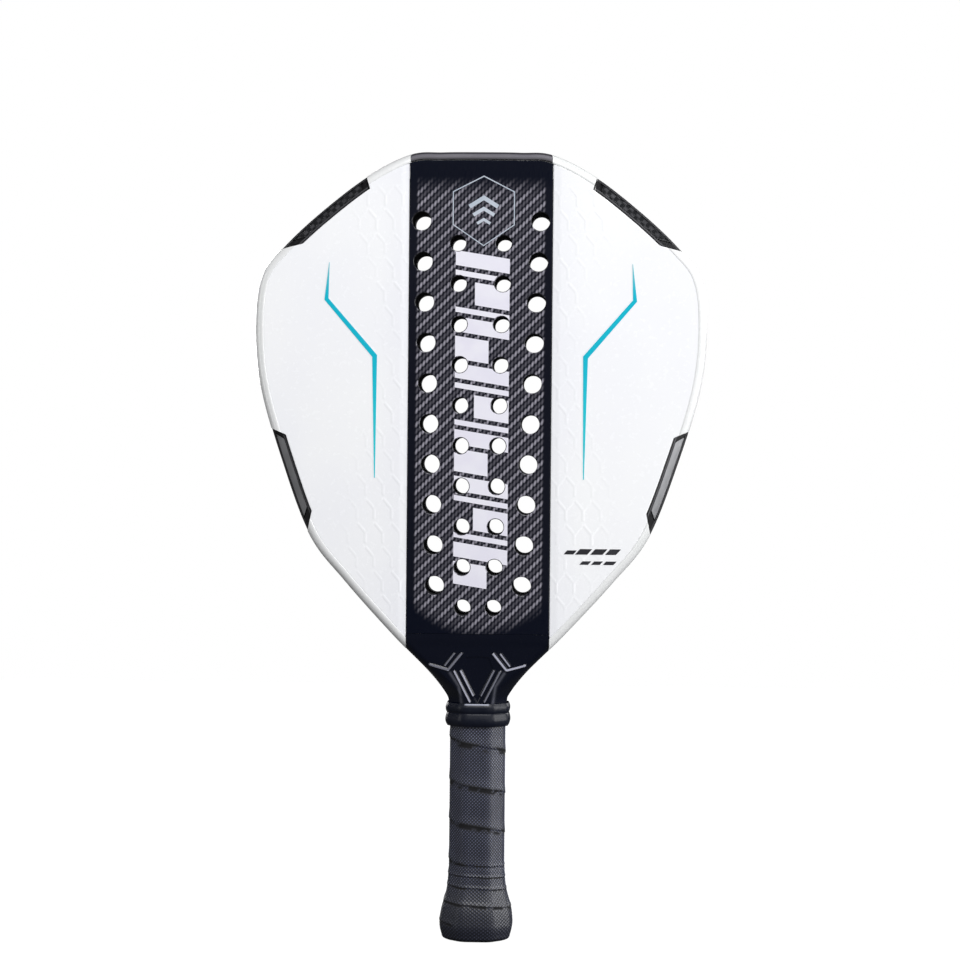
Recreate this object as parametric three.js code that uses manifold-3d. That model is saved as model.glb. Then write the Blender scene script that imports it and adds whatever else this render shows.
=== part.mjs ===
// Padel racket, in millimetres. X runs across the face, Y through its thickness (front is -Y),
// and Z up the racket from the middle of the butt to the tip of the head.
import * as THREE from "three";
import { mergeVertices } from "three/addons/utils/BufferGeometryUtils.js";
import Module from "manifold-3d";

const wasm = await Module();
wasm.setup();

// ---------- driving dimensions ----------

const LENGTH = 455;
const HALF_THICKNESS = 19;
const GAP = 0.3; // clearance between neighbouring pieces

// Right half of the outline as [x, z] knots, from the tip of the head to the neck.
const OUTLINE_KNOTS = [
  [0, LENGTH], [22, 454.8], [41, 453.4], [65.7, 441], [92.4, 420.5], [113.2, 401], [126, 384.3],
  [129.9, 358], [127, 321.6], [114.5, 278], [97.7, 234.3], [77, 207.8], [49.9, 178],
  [28.7, 156.6], [18.6, 143.5], [16.6, 137.5], [16.5, 128],
];
const OUTLINE_STEPS = 45; // chords in half the outline

const RIM = 4.4; // width of the rounded edge, seen from the front
const FRAME_WIDTH = 13; // of the frame tube, measured inwards from the outline
const FRAME_WALL = 1.6;
const FACE_PLY = 1; // thickness of a face panel
const STRIP_HALF_WIDTH = 41;
const STRIP_FOOT = 178; // z where the carbon strip ends and the yoke begins

// The 40 holes: two outer and two inner columns, ten holes each.
const HOLES_PER_COLUMN = 10;
const HOLE_PITCH = 23.25;
const OUTER_COLUMN = { topX: 34.1, footX: 25, topZ: 415.2, radius: 5.4 };
const INNER_COLUMN = { topX: 13.1, footX: 8.8, topZ: 402.6, radius: 4.6 };

const BUMPER = { halfWidth: 40.5, wall: 1.8, reach: RIM };

// Edge inserts: z of the two ends of the outer edge and of the inner edge.
const INSERT_DEPTH = 7;
const UPPER_INSERT = {
  level: "upper",
  notch: { outer: [441.6, 398], inner: [433, 402] },
  window: { outer: [437.8, 403.2], inner: [432.8, 405] },
};
const LOWER_INSERT = {
  level: "lower",
  notch: { outer: [296, 234.5], inner: [291.5, 248.5] },
  window: { outer: [293.4, 243.5], inner: [290, 250] },
};
const WINDOW_EDGE = [1.1, 5.7]; // how far in from the outline a plate starts and ends
const PLATE = { sunk: 0.4, thickness: 0.9 };

const NECK_Z = 133; // foot of the yoke covers, inside the collar
const YOKE_DEPTH = [[HALF_THICKNESS, STRIP_FOOT], [14.6, 138], [14.4, NECK_Z]]; // [half depth, z]
const YOKE_WALL = 2.3;
const NECK_HEAD = 138; // below this z the yoke has the handle's eight-sided section
const NECK_HALF_WIDTH = 16.9;

const LEG = { inner: 2.5, outer: 10, halfDepth: 7, foot: 8, head: 132.5, wall: 1.4 };

// The handle's section is an octagon 2 wide: corners of its front right quarter.
const OCTAGON_CORNERS = [[0.48, 0.88], [1, 0.42]];
const CORNER_ROUNDING = 0.14;

// Outer surface of the grip, as [half width, z].
const GRIP_SURFACE = [
  [20.4, 3.5], [21.3, 7], [21.5, 10.5], [20.6, 18], [17.6, 29.5], [16.6, 41], [16.4, 52],
  [16.4, 132.5],
];
const OVERGRIP = 0.9; // thickness
const BASE_GRIP = 1.6;
const GRIP_HEAD = 132.5;
const BASE_GRIP_HEAD = 130;
const CAP_HEAD = 30.7;
const CAP_FLOOR = 4;
const CAP_BORE = 12.6;
const PLUG = { radius: 7.5, cordHole: 2.5, height: 3.4 };
const COLLAR = {
  inner: 17.3,
  surface: [[17.6, 124.5], [18.5, 126.2], [18.8, 128.4], [18.2, 131.3], [17.9, 132],
    [18.5, 133.4], [18.6, 135.6], [17.8, 137.7]],
};

// ---------- materials ----------

const finish = (color, roughness, metalness = 0) => (
  new THREE.MeshStandardMaterial({ color, roughness, metalness })
);
const WHITE_PAINT = finish(0xf0f1f5, 0.25);
const FOAM = finish(0xd8d6cf, 0.9);
const CARBON = finish(0x1a1b22, 0.2, 0.1);
const BUMPER_GREY = finish(0x68646c, 0.55);
const BLACK_PLASTIC = finish(0x1c1c20, 0.45);
const SATIN_GREY = finish(0x8f9094, 0.5, 0.2);
const BLACK_GLOSS = finish(0x10121a, 0.15);
const HARD_FOAM = finish(0xb9b3a4, 0.85);
const GRIP_FOAM = finish(0x24252a, 0.8);
const GRIP_TAPE = finish(0x3a3b44, 0.65);
const TAPE = finish(0x15161a, 0.5);
const RUBBER = finish(0x1a1c24, 0.6);

const racket = new THREE.Group();

function addPiece(name, solid, material) {
  const mesh = new THREE.Mesh(toGeometry(solid), material);
  mesh.name = name;
  racket.add(mesh);
}

// ---------- solids ----------

const thick = 2 * HALF_THICKNESS; // reaches past both faces

function toSolid(geometry) {
  const bare = geometry.clone();
  bare.deleteAttribute("normal");
  bare.deleteAttribute("uv");
  const merged = mergeVertices(bare);
  return new wasm.Manifold(new wasm.Mesh({
    numProp: 3,
    vertProperties: new Float32Array(merged.attributes.position.array),
    triVerts: new Uint32Array(merged.index.array),
  }));
}

function toGeometry(solid) {
  const { vertProperties, triVerts } = solid.getMesh();
  const geometry = new THREE.BufferGeometry();
  geometry.setAttribute("position", new THREE.BufferAttribute(vertProperties, 3));
  geometry.setIndex(new THREE.BufferAttribute(triVerts, 1));
  geometry.computeVertexNormals();
  return geometry;
}

const mirrored = (points) => points.map(([x, z]) => [-x, z]).reverse();
const toShape = (points) => new THREE.Shape(points.map(([x, y]) => new THREE.Vector2(x, y)));

// A flat plate whose outline lies in the X-Z plane.
function slab(points, yLow, yHigh) {
  const options = { depth: yHigh - yLow, bevelEnabled: false };
  const geometry = new THREE.ExtrudeGeometry(toShape(points), options);
  geometry.rotateX(Math.PI / 2).translate(0, yHigh, 0);
  return toSolid(geometry);
}

// The same, centred on Y = 0, with its edges cut back by edge: rounded, or one flat chamfer.
function edgedSlab(points, halfDepth, edge, segments) {
  const depth = 2 * (halfDepth - edge);
  const geometry = new THREE.ExtrudeGeometry(toShape(points), {
    depth, bevelThickness: edge, bevelSize: edge, bevelOffset: -edge, bevelSegments: segments,
  });
  geometry.rotateX(Math.PI / 2).translate(0, depth / 2, 0);
  return toSolid(geometry);
}

// Everything within a half depth that changes along Z, given as [half depth, z] from the top.
function withinDepth(profile) {
  const width = 2 * LENGTH;
  const points = [...profile, ...mirrored(profile)];
  const geometry = new THREE.ExtrudeGeometry(toShape(points), { depth: width, bevelEnabled: false });
  geometry.rotateX(Math.PI / 2).rotateZ(Math.PI / 2).translate(-width / 2, 0, 0);
  return toSolid(geometry);
}

function block(xLow, xHigh, yLow, yHigh, zLow, zHigh) {
  const geometry = new THREE.BoxGeometry(xHigh - xLow, yHigh - yLow, zHigh - zLow);
  geometry.translate((xLow + xHigh) / 2, (yLow + yHigh) / 2, (zLow + zHigh) / 2);
  return toSolid(geometry);
}

// ---------- the outline and what follows it ----------

const outlineCurve = new THREE.SplineCurve(OUTLINE_KNOTS.map(([x, z]) => new THREE.Vector2(x, z)));

// Right half of the outline, moved inwards by inset, from the tip to the neck.
function halfOutline(inset) {
  const points = [];
  for (let i = 0; i <= OUTLINE_STEPS; i += 1) {
    const point = outlineCurve.getPointAt(i / OUTLINE_STEPS);
    const tangent = outlineCurve.getTangentAt(i / OUTLINE_STEPS);
    points.push([point.x + tangent.y * inset, point.y - tangent.x * inset]);
  }
  points[0][0] = 0;
  return points;
}

const between = (a, b, t) => [a[0] + (b[0] - a[0]) * t, a[1] + (b[1] - a[1]) * t];

// The part of a line of points between two limits along one axis, cut exactly at the limits.
function stretch(points, axis, low, high) {
  const kept = [];
  for (let i = 0; i < points.length; i += 1) {
    if (i > 0) {
      const [a, b] = [points[i - 1], points[i]];
      const cuts = [low, high].map((limit) => (limit - a[axis]) / (b[axis] - a[axis]));
      cuts.filter((t) => t > 0 && t < 1).sort((s, t) => s - t)
        .forEach((t) => kept.push(between(a, b, t)));
    }
    if (points[i][axis] >= low && points[i][axis] <= high) kept.push(points[i]);
  }
  return kept;
}

// Closed outline of the head, moved inwards by inset, down to a straight foot.
function headOutline(inset, foot) {
  const right = stretch(halfOutline(inset), 1, foot, LENGTH + GAP);
  return [...right, ...mirrored(right).slice(0, -1)];
}

// Area between two insets of the right half of the outline, for given z ranges of each side.
function rimArea(outerInset, innerInset, outerZ, innerZ) {
  const outer = stretch(halfOutline(outerInset), 1, outerZ[1], outerZ[0]);
  const inner = stretch(halfOutline(innerInset), 1, innerZ[1], innerZ[0]);
  return [...outer, ...inner.reverse()];
}

// An insert's area seen from the front; its ends are slanted, so they grow more along Z.
function insertArea({ outer, inner }, grow) {
  const end = 3 * grow;
  return rimArea(-1 - grow, INSERT_DEPTH + grow,
    [outer[0] + end, outer[1] - end], [inner[0] + end, inner[1] - end]);
}

// Band along the top edge, between two insets and within a half width.
function topArea(outerInset, innerInset, halfWidth) {
  const half = (inset) => stretch(halfOutline(inset).slice(0, OUTLINE_STEPS / 2), 0, 0, halfWidth);
  const outer = half(outerInset);
  const inner = half(innerInset);
  return [
    ...mirrored(outer).slice(0, -1), ...outer, ...inner.reverse(), ...mirrored(inner).slice(1),
  ];
}

function cutFromAll(solid, cutters) {
  return cutters.reduce((rest, cutter) => rest.subtract(cutter), solid);
}

const SIDES = [
  { side: "left", turn: mirrored },
  { side: "right", turn: (points) => points },
];
const INSERTS = [UPPER_INSERT, LOWER_INSERT].flatMap((spec) => (
  SIDES.map(({ side, turn }) => ({ ...spec, side, turn }))
));

const insertSlab = (insert, grow) => (
  slab(insert.turn(insertArea(insert.notch, grow)), -2 * HALF_THICKNESS, 2 * HALF_THICKNESS)
);

// ---------- the handle's section ----------

// The handle's section with a half width of 1: eight sides, each corner cut short.
function octagon() {
  const quarter = OCTAGON_CORNERS;
  const corners = [
    ...quarter.map(([x, y]) => [x, -y]),
    ...quarter.map(([x, y]) => [x, y]).reverse(),
    ...quarter.map(([x, y]) => [-x, y]),
    ...quarter.map(([x, y]) => [-x, -y]).reverse(),
  ];
  return corners.flatMap((corner, i) => {
    const before = corners[(i + corners.length - 1) % corners.length];
    const after = corners[(i + 1) % corners.length];
    return [between(corner, before, CORNER_ROUNDING), between(corner, after, CORNER_ROUNDING)];
  });
}

const SECTION = octagon();

// A closed [half width, z] profile swept round the handle's section.
function sleeve(profile) {
  const closed = [...profile, profile[0]].map(([r, z]) => new THREE.Vector2(r, z));
  const geometry = new THREE.LatheGeometry(closed, SECTION.length);
  const position = geometry.attributes.position;
  for (let i = 0; i < position.count; i += 1) {
    const [r, z] = [closed[i % closed.length].x, closed[i % closed.length].y];
    const [x, y] = SECTION[Math.floor(i / closed.length) % SECTION.length];
    position.setXYZ(i, r * x, r * y, z);
  }
  return toSolid(geometry);
}

// Cuts what lies in the neck down to the handle's section; what lies above stays whole.
function fitNeck(solid, halfWidth) {
  const neck = sleeve([[halfWidth, 0], [halfWidth, NECK_HEAD], [1, NECK_HEAD], [1, 0]])
    .add(block(-2, 2, -2, 2, 0, NECK_HEAD));
  return solid.intersect(neck.add(block(-LENGTH, LENGTH, -thick, thick, NECK_HEAD - GAP, LENGTH)));
}

// ---------- frame tube ----------

const FACE_SEAT = HALF_THICKNESS - FACE_PLY - GAP; // |y| of the bed that the face panels lie on
const YOKE_BED = YOKE_DEPTH.map(([depth, z]) => [depth - YOKE_WALL, z]);
const LEG_DEPTH = [
  [FACE_SEAT, LENGTH], [FACE_SEAT, STRIP_FOOT + GAP],
  ...YOKE_BED.slice(0, 2).map(([depth, z]) => [depth - GAP, z]),
  [LEG.halfDepth, LEG.head], [LEG.halfDepth, -1],
];

const LEG_NECK = NECK_HALF_WIDTH - YOKE_WALL - GAP;

// A leg of the frame: outline of one solid or, with a wall, of the hollow inside it.
function legArea(wall) {
  const yokeInset = YOKE_WALL + 2 * GAP + wall;
  const top = STRIP_FOOT + 14;
  const foot = wall > 0 ? LEG.foot - 1 : LEG.foot;
  const outer = stretch(halfOutline(yokeInset), 1, 138, top);
  const inner = stretch(halfOutline(FRAME_WIDTH - wall), 1, 145, top)
    .filter(([x]) => x > LEG.inner + wall);
  return [
    ...outer,
    [LEG.outer - wall, LEG.head],
    [LEG.outer - wall, foot],
    [LEG.inner + wall, foot],
    [LEG.inner + wall, inner.at(-1)[1] - 4],
    ...inner.reverse(),
  ];
}

const envelope = edgedSlab(headOutline(0, NECK_Z), HALF_THICKNESS, RIM, 3);
const yokeZone = block(-STRIP_HALF_WIDTH - GAP, STRIP_HALF_WIDTH + GAP, -thick, thick,
  NECK_Z - GAP, STRIP_FOOT);
const coreZone = slab(headOutline(FRAME_WIDTH, STRIP_FOOT - 20), -thick, thick);
const bumperZone = [
  slab(topArea(-1, BUMPER.wall + GAP, BUMPER.halfWidth + GAP), -thick, thick),
  ...[[-thick, BUMPER.wall + GAP - HALF_THICKNESS], [HALF_THICKNESS - BUMPER.wall - GAP, thick]]
    .map(([low, high]) => (
      slab(topArea(-1, BUMPER.reach + GAP, BUMPER.halfWidth + GAP), low, high)
    )),
];

function frameHollow() {
  const depth = LEG_DEPTH.map(([half, z]) => [half - FRAME_WALL - 0.6, z]);
  const ring = slab(headOutline(RIM / 2, STRIP_FOOT), -thick, thick)
    .subtract(slab(headOutline(FRAME_WIDTH - FRAME_WALL, STRIP_FOOT - 20), -thick, thick));
  const legs = SIDES.map(({ turn }) => (
    fitNeck(slab(turn(legArea(LEG.wall)), -thick, thick), LEG_NECK - FRAME_WALL)
  ));
  const keptWalls = [
    ...INSERTS.map((insert) => insertSlab(insert, GAP + FRAME_WALL)),
    slab(topArea(-1, BUMPER.wall + GAP + FRAME_WALL, BUMPER.halfWidth + 2), -thick, thick),
  ];
  return cutFromAll(ring.add(legs[0]).add(legs[1]), keptWalls).intersect(withinDepth(depth));
}

function frameTube() {
  const faceBeds = [[-thick, -FACE_SEAT], [FACE_SEAT, thick]]
    .map(([low, high]) => slab(headOutline(RIM + 0.2, STRIP_FOOT - 9), low, high));
  const ring = cutFromAll(envelope, [yokeZone, coreZone, ...faceBeds]);
  const legs = SIDES.map(({ turn }) => (
    fitNeck(slab(turn(legArea(0)), -thick, thick), LEG_NECK)
      .intersect(withinDepth(LEG_DEPTH))
  ));
  const notches = INSERTS.map((insert) => insertSlab(insert, GAP));
  const whole = ring.add(legs[0]).add(legs[1]);
  return cutFromAll(whole, [...bumperZone, ...notches, frameHollow()]);
}

addPiece("frame_tube", frameTube(), WHITE_PAINT);

// ---------- core, faces and bumper ----------

function drill(solid, sides) {
  let drilled = solid;
  for (const { topX, footX, topZ, radius } of [OUTER_COLUMN, INNER_COLUMN]) {
    for (let row = 0; row < HOLES_PER_COLUMN; row += 1) {
      const x = topX + (footX - topX) * (row / (HOLES_PER_COLUMN - 1));
      const z = topZ - HOLE_PITCH * row;
      for (const sign of [-1, 1]) {
        const hole = new THREE.CylinderGeometry(radius, radius, 2 * thick, sides);
        hole.translate(sign * x, 0, z);
        drilled = drilled.subtract(toSolid(hole));
      }
    }
  }
  return drilled;
}

const core = slab(headOutline(FRAME_WIDTH + GAP, STRIP_FOOT + GAP), -FACE_SEAT, FACE_SEAT);
addPiece("eva_core", drill(core, 8), FOAM);

function wing(turn, low, high) {
  const area = stretch(halfOutline(RIM + 0.5), 0, STRIP_HALF_WIDTH + GAP, LENGTH);
  return slab(turn(area), low, high);
}

const PANEL_DEPTHS = {
  front: [-HALF_THICKNESS, -HALF_THICKNESS + FACE_PLY],
  rear: [HALF_THICKNESS - FACE_PLY, HALF_THICKNESS],
};

for (const [face, [low, high]] of Object.entries(PANEL_DEPTHS)) {
  for (const { side, turn } of SIDES) {
    const notches = INSERTS.filter((insert) => insert.side === side)
      .map((insert) => insertSlab(insert, GAP));
    addPiece(`${face}_wing_${side}`, cutFromAll(wing(turn, low, high), notches), WHITE_PAINT);
  }
  const strip = slab(headOutline(RIM + 0.5, STRIP_FOOT + GAP), low, high)
    .intersect(block(-STRIP_HALF_WIDTH, STRIP_HALF_WIDTH, -thick, thick, 0, LENGTH));
  addPiece(`${face}_carbon_strip`, drill(strip, 10), CARBON);
}

const bumper = envelope
  .intersect(slab(topArea(-1, BUMPER.reach, BUMPER.halfWidth), -thick, thick))
  .subtract(slab(topArea(BUMPER.wall, BUMPER.reach + 1, BUMPER.halfWidth + 1),
    BUMPER.wall - HALF_THICKNESS, HALF_THICKNESS - BUMPER.wall));
addPiece("top_bumper", bumper, BUMPER_GREY);

// ---------- edge inserts ----------

// The head with one flat chamfer as deep as an insert, lowered towards the middle.
const chamfered = (lowered) => (
  edgedSlab(headOutline(0, NECK_Z), HALF_THICKNESS - lowered, INSERT_DEPTH - 0.3, 1)
);
const insertTop = chamfered(GAP);
const plateTop = chamfered(GAP + PLATE.sunk);
const plateFoot = chamfered(GAP + PLATE.sunk + PLATE.thickness);
const pocketFloor = chamfered(2 * GAP + PLATE.sunk + PLATE.thickness);

function windowSlab(insert, shrink, low, high) {
  const { outer, inner } = insert.window;
  const end = 3 * shrink;
  const area = rimArea(WINDOW_EDGE[0] + shrink, WINDOW_EDGE[1] - shrink,
    [outer[0] - end, outer[1] + end], [inner[0] - end, inner[1] + end]);
  return slab(insert.turn(area), low, high);
}

for (const insert of INSERTS) {
  const pocket = windowSlab(insert, 0, -thick, thick).subtract(pocketFloor);
  const bezel = insertTop.intersect(insertSlab(insert, 0)).subtract(pocket);
  addPiece(`insert_bezel_${insert.level}_${insert.side}`, bezel, BLACK_PLASTIC);
  const plateSkin = plateTop.subtract(plateFoot);
  for (const [face, low, high] of [["front", -thick, 0], ["rear", 0, thick]]) {
    const plate = windowSlab(insert, GAP, low, high).intersect(plateSkin);
    const material = insert.level === "upper" ? CARBON : SATIN_GREY;
    addPiece(`insert_plate_${insert.level}_${insert.side}_${face}`, plate, material);
  }
}

// ---------- yoke ----------

const bridgeOutline = headOutline(FRAME_WIDTH + GAP, 150).filter(([, z]) => z < STRIP_FOOT);
const bridge = slab(bridgeOutline, -thick, thick)
  .intersect(withinDepth(YOKE_BED.map(([depth, z]) => [depth - GAP, z])));
addPiece("throat_bridge", bridge, HARD_FOAM);

function yokeCover(low, high) {
  const bed = slab(headOutline(YOKE_WALL + GAP, NECK_Z - 1), -thick, thick)
    .intersect(withinDepth([...YOKE_BED, [YOKE_BED.at(-1)[0], 0]]));
  const shell = envelope
    .intersect(withinDepth(YOKE_DEPTH))
    .intersect(block(-STRIP_HALF_WIDTH, STRIP_HALF_WIDTH, low, high, NECK_Z, STRIP_FOOT - GAP));
  return fitNeck(shell, NECK_HALF_WIDTH).subtract(fitNeck(bed, NECK_HALF_WIDTH - YOKE_WALL));
}

addPiece("throat_cover_front", yokeCover(-thick, -GAP / 2), BLACK_GLOSS);
addPiece("throat_cover_rear", yokeCover(GAP / 2, thick), BLACK_GLOSS);

// ---------- handle ----------

const gripSurface = (depth, head) => (
  stretch(GRIP_SURFACE.map(([r, z]) => [r - depth, z]), 1, 0, head)
);
const layer = (outerDepth, innerDepth, head) => (
  [...gripSurface(outerDepth, head), ...gripSurface(innerDepth, head).reverse()]
);

const PALLET_DEPTH = OVERGRIP + BASE_GRIP + 2 * GAP;
addPiece("overgrip", sleeve(layer(0, OVERGRIP, GRIP_HEAD)), GRIP_TAPE);
addPiece("base_grip",
  sleeve(layer(OVERGRIP + GAP, OVERGRIP + GAP + BASE_GRIP, BASE_GRIP_HEAD)), GRIP_FOAM);

const palletRadius = GRIP_SURFACE.at(-1)[0] - PALLET_DEPTH - GAP;
const palletFoot = CAP_HEAD + GAP;
const pallets = sleeve([[palletRadius, palletFoot], [palletRadius, GRIP_HEAD - GAP],
  [1, GRIP_HEAD - GAP], [1, palletFoot]])
  .add(block(-2, 2, -2, 2, palletFoot, GRIP_HEAD - GAP))
  .subtract(block(-LEG.outer - GAP, LEG.outer + GAP, -LEG.halfDepth - GAP, LEG.halfDepth + GAP,
    0, LENGTH));
addPiece("handle_pallet_front",
  pallets.intersect(block(-thick, thick, -thick, -GAP / 2, 0, LENGTH)), HARD_FOAM);
addPiece("handle_pallet_rear",
  pallets.intersect(block(-thick, thick, GAP / 2, thick, 0, LENGTH)), HARD_FOAM);

addPiece("handle_filler", block(GAP - LEG.inner, LEG.inner - GAP, -LEG.halfDepth, LEG.halfDepth,
  LEG.foot, GRIP_HEAD), FOAM);

const capSide = gripSurface(PALLET_DEPTH, CAP_HEAD);
addPiece("butt_cap", sleeve([
  [PLUG.radius + GAP, 0], [17.5, 0], [19.3, 0.6], [20.1, 1.8], [20.3, 3.2],
  [capSide[0][0], 3.2], ...capSide, [CAP_BORE, CAP_HEAD], [CAP_BORE, CAP_FLOOR],
  [PLUG.radius + GAP, CAP_FLOOR],
]), BLACK_PLASTIC);

addPiece("butt_plug", sleeve([
  [PLUG.cordHole, 0.4], [PLUG.radius - 0.5, 0.4], [PLUG.radius, 0.9],
  [PLUG.radius, PLUG.height + 0.4], [PLUG.cordHole, PLUG.height + 0.4],
]), RUBBER);

const tape = { inner: GRIP_SURFACE.at(-1)[0] + GAP, foot: 126.5, head: 132.5 };
addPiece("finishing_tape", sleeve([
  [tape.inner, tape.foot], [tape.inner + 0.3, tape.foot], [tape.inner + 0.3, tape.head],
  [tape.inner, tape.head],
]), TAPE);

addPiece("collar", sleeve([
  [COLLAR.inner, COLLAR.surface[0][1]], ...COLLAR.surface, [COLLAR.inner, COLLAR.surface.at(-1)[1]],
]), RUBBER);

export default racket;
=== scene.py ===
import math

import bmesh
import bpy
import numpy as np
from mathutils import Matrix, Vector
from mathutils.geometry import delaunay_2d_cdt


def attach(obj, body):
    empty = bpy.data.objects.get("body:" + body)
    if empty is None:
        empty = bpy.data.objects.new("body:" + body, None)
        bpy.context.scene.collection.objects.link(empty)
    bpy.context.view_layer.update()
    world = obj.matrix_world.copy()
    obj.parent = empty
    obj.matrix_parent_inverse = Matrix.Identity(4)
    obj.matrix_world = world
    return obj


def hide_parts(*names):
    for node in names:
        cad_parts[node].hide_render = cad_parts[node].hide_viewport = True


# Padel racket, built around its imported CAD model. Sizes in this file are in millimetres, as in the
# CAD model, and become metres when a mesh is made. X runs across the face, the front is -Y, Z is up.

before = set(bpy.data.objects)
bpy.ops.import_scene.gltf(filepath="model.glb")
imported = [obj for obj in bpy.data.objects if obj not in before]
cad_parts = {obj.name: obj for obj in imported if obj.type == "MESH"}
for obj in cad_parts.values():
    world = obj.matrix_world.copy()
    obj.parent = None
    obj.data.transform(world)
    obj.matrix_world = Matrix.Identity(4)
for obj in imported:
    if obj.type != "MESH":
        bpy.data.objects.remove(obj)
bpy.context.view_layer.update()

MM = 0.001


# ---------- driving dimensions, as in the CAD model ----------

HALF_THICKNESS = 19
GAP = 0.3
SHARP_ANGLE = 32  # degrees; edges above it stay sharp
BEVEL_ANGLE = 30  # degrees; edges above it are rounded

OUTLINE_KNOTS = [
    (0, 455), (22, 454.8), (41, 453.4), (65.7, 441), (92.4, 420.5), (113.2, 401), (126, 384.3),
    (129.9, 358), (127, 321.6), (114.5, 278), (97.7, 234.3), (77, 207.8), (49.9, 178),
    (28.7, 156.6), (18.6, 143.5), (16.6, 137.5), (16.5, 128),
]
RIM = 4.4
SEAM_INSET = 4.9  # where the wings meet the rim
FRAME_WIDTH = 13
FACE_SEAT = 17.7
STRIP_HALF_WIDTH = 41
STRIP_FOOT = 178

HOLES_PER_COLUMN = 10
HOLE_PITCH = 23.25
HOLE_COLUMNS = [  # x at the top and at the foot, z of the top hole, radius
    (34.1, 25, 415.2, 5.4),
    (13.1, 8.8, 402.6, 4.6),
]

BUMPER_HALF_WIDTH = 40.5
BUMPER_WALL = 1.8

INSERT_DEPTH = 7
INSERT_CHAMFER = 6.7
INSERTS = {  # z of the two ends: of the notch and of the window, at the outer and inner edge
    "upper": {"notch": ((441.6, 398), (433, 402)), "window": ((437.8, 403.2), (432.8, 405))},
    "lower": {"notch": ((296, 234.5), (291.5, 248.5)), "window": ((293.4, 243.5), (290, 250))},
}
WINDOW_INSETS = (1.1, 5.7)
PLATE_SUNK = 0.4
PLATE_THICKNESS = 0.9

NECK_Z = 133
NECK_HEAD = 138
NECK_HALF_WIDTH = 16.5
YOKE_WALL = 2.3

OCTAGON_CORNERS = [(0.48, 0.88), (1, 0.42)]  # front right quarter, for a half width of 1
GRIP_HEAD = 132.5
GRIP_SURFACE = [  # half width, z
    (20.4, 3.5), (21.3, 7), (21.5, 10.5), (20.6, 18), (17.6, 29.5), (16.6, 41), (16.4, 52),
    (16.4, GRIP_HEAD),
]
WRAP_SURFACE = [(17.9, 0.35), (19.1, 0.9), (20.0, 2.0), *GRIP_SURFACE]  # folded in under the butt
OVERGRIP = 0.9
BASE_GRIP = 1.6
CAP_HEAD = 30.7
CAP_BORE = 12.6
CAP_FLOOR = 4
PLUG_RADIUS = 7.5
CORD_HOLE = 2.5
COLLAR_INNER = 17.3
COLLAR_SURFACE = [
    (17.6, 124.5), (18.5, 126.2), (18.8, 128.4), (18.2, 131.3), (17.9, 132), (18.5, 133.4),
    (18.6, 135.6), (17.8, 137.7),
]


# ---------- meshes ----------

def add_piece(name, points, faces, material, slot, replaced=(), sharp=SHARP_ANGLE):
    """One closed mesh, which rides on the racket and stands for CAD nodes."""
    mesh = closed_mesh(name, points, faces)
    smooth(mesh, sharp)
    mesh.materials.append(material)
    piece = add_object(name, mesh)
    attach(piece, "root")
    if replaced:
        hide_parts(*replaced)
    return piece


def smooth(mesh, sharp=SHARP_ANGLE):
    mesh.shade_smooth()
    mesh.set_sharp_from_angle(angle=math.radians(sharp))


def closed_mesh(name, points, faces):
    """A mesh from points in millimetres, with its faces turned outwards."""
    mesh = bpy.data.meshes.new(name)
    mesh.from_pydata((np.asarray(points) * MM).tolist(), [], faces)
    shell = bmesh.new()
    shell.from_mesh(mesh)
    bmesh.ops.recalc_face_normals(shell, faces=shell.faces)
    shell.to_mesh(mesh)
    shell.free()
    mesh.update()
    return mesh


def add_object(name, data):
    made = bpy.data.objects.new(name, data)
    bpy.context.scene.collection.objects.link(made)
    return made


def loft(sections, ring=False):
    """Points and faces of closed sections. The last joins the first in a ring, or both are capped."""
    sections = np.asarray(sections, float)
    index = np.arange(sections.shape[0] * sections.shape[1]).reshape(sections.shape[:2])
    lower = index if ring else index[:-1]
    upper = np.roll(index, -1, axis=0) if ring else index[1:]
    quads = np.stack([lower, np.roll(lower, -1, 1), np.roll(upper, -1, 1), upper], -1)
    faces = quads.reshape(-1, 4).tolist()
    if not ring:
        faces += [index[0][::-1].tolist(), index[-1].tolist()]
    return sections.reshape(-1, 3), faces


def joined(bodies):
    """Several closed bodies as one set of points and faces."""
    points, faces, start = [], [], 0
    for body_points, body_faces in bodies:
        points.append(body_points)
        faces += [[start + i for i in face] for face in body_faces]
        start += len(body_points)
    return np.vstack(points), faces


def add_value(piece, name, values):
    """Stores a number for each point of a piece, for its material."""
    layer = piece.data.attributes.new(name, "FLOAT", "POINT")
    layer.data.foreach_set("value", np.asarray(values, np.float32))


def facing(points, side):
    """Turns what is modelled for the front right to the other side and face."""
    return np.asarray(points) * (side[0], side[1], 1)


def bevel(piece, width):
    modifier = piece.modifiers.new("edges", "BEVEL")
    modifier.width = width * MM
    modifier.segments = 2
    modifier.limit_method = "ANGLE"
    modifier.angle_limit = math.radians(BEVEL_ANGLE)
    modifier.harden_normals = True


# ---------- the outline ----------

def curve_through(knots, steps):
    """Catmull-Rom curve through the knots, with a fixed number of steps between two of them."""
    knots = np.array(knots, float)
    last = len(knots) - 1
    t = np.linspace(0, 1, steps, endpoint=False)[:, None]
    spans = []
    for i in range(last):
        before, a, b, after = knots[max(i - 1, 0)], knots[i], knots[i + 1], knots[min(i + 2, last)]
        leaving, arriving = (b - before) / 2, (after - a) / 2
        spans.append((2 * a - 2 * b + leaving + arriving) * t ** 3
                     + (3 * b - 3 * a - 2 * leaving - arriving) * t ** 2 + leaving * t + a)
    return np.vstack([*spans, knots[-1:]])


def arc_lengths(points):
    return np.concatenate([[0], np.cumsum(np.hypot(*np.diff(points, axis=0).T))])


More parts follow.
